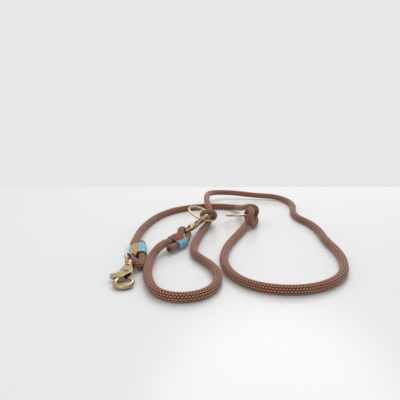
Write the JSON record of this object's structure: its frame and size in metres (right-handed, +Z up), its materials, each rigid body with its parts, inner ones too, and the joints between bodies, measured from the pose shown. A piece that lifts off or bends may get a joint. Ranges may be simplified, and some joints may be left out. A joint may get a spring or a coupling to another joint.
{
  "type": "lead rope",
  "caption": "Braided lead rope with swivel trigger snaps on whipped, folded ends and metal rings knotted into the rope; one snap is clipped to a ring to form a hand loop",
  "frame": {"origin": "middle of the bounding box on the surface that the rope lies on", "axes": "+X to the right in the picture, +Y away from the camera along the surface, +Z up"},
  "size_m": [0.2621, 0.4299, 0.0357],
  "materials": {
    "braid": "woven braid, matt with a slight sheen",
    "twine": "fine wound twine, slight sheen",
    "tan_leather": "smooth, slightly worn",
    "rust_leather": "smooth, slightly worn",
    "pale_brass": "drawn wire, satin",
    "antique_brass": "cast, tumbled, antiqued",
    "spring_steel": "drawn spring wire"
  },
  "bodies": {
    "rope": {"rope_short_side": "braid", "rope_main_run": "braid", "rope_hand_loop": "braid", "knot_1": "braid", "knot_2": "braid", "rope_fold_a": "braid", "rope_fold_b": "braid", "whipping_a": "twine", "whipping_b": "twine", "leather_tab_a": "tan_leather", "leather_tab_b": "rust_leather"},
    "ring_1": {"ring_1": "pale_brass"},
    "ring_2": {"ring_2": "pale_brass"},
    "snap_a_eye_body": {"snap_a_eye": "antique_brass"},
    "snap_a_hook_body": {"snap_a_hook": "antique_brass", "snap_a_swivel_pin": "antique_brass", "snap_a_rivet": "antique_brass", "snap_a_spring": "spring_steel"},
    "snap_a_trigger_body": {"snap_a_trigger": "antique_brass"},
    "snap_b_eye_body": {"snap_b_eye": "antique_brass"},
    "snap_b_hook_body": {"snap_b_hook": "antique_brass", "snap_b_swivel_pin": "antique_brass", "snap_b_rivet": "antique_brass", "snap_b_spring": "spring_steel"},
    "snap_b_trigger_body": {"snap_b_trigger": "antique_brass"}
  },
  "joints": [
    {"name": "ring_1_swing", "type": "hinge", "parent": "rope", "child": "ring_1", "pos_m": [-0.0223, 0.0349, 0.0163], "axis": [0.5698, -0.7427, -0.3519], "range_deg": [-1.5, 0.5]},
    {"name": "ring_2_swing", "type": "hinge", "parent": "rope", "child": "ring_2", "pos_m": [0.0408, 0.0386, 0.0135], "axis": [-0.134, -0.9546, 0.2659], "range_deg": [-28, 28]},
    {"name": "snap_a_eye_swing", "type": "hinge", "parent": "rope", "child": "snap_a_eye_body", "pos_m": [-0.114, -0.133, 0.0104], "axis": [0.8212, -0.0693, 0.5664], "range_deg": [-90, 90]},
    {"name": "snap_a_swivel", "type": "hinge", "parent": "snap_a_eye_body", "child": "snap_a_hook_body", "pos_m": [-0.11382, -0.14637, 0.00851], "axis": [0.013, -0.9901, -0.14], "continuous": true},
    {"name": "snap_a_trigger_pivot", "type": "hinge", "parent": "snap_a_hook_body", "child": "snap_a_trigger_body", "pos_m": [-0.11366, -0.15874, 0.00676], "axis": [-0.0003, 0.14, -0.9901], "range_deg": [0, 12], "stiffness_Nm_per_rad": 0.05, "springref_deg": -17.19},
    {"name": "snap_b_eye_swing", "type": "hinge", "parent": "rope", "child": "snap_b_eye_body", "pos_m": [-0.0552, -0.0361, 0.0133], "axis": [0.4959, -0.1997, -0.8451], "range_deg": [-3, 0]},
    {"name": "snap_b_swivel", "type": "hinge", "parent": "snap_b_eye_body", "child": "snap_b_hook_body", "pos_m": [-0.04887, -0.02421, 0.0142], "axis": [0.4689, 0.8807, 0.067], "range_deg": [-10, 4]},
    {"name": "snap_b_trigger_pivot", "type": "hinge", "parent": "snap_b_hook_body", "child": "snap_b_trigger_body", "pos_m": [-0.04301, -0.0132, 0.01504], "axis": [0.6798, -0.3114, -0.664], "range_deg": [0, 12], "stiffness_Nm_per_rad": 0.05, "springref_deg": -17.19}
  ]
}
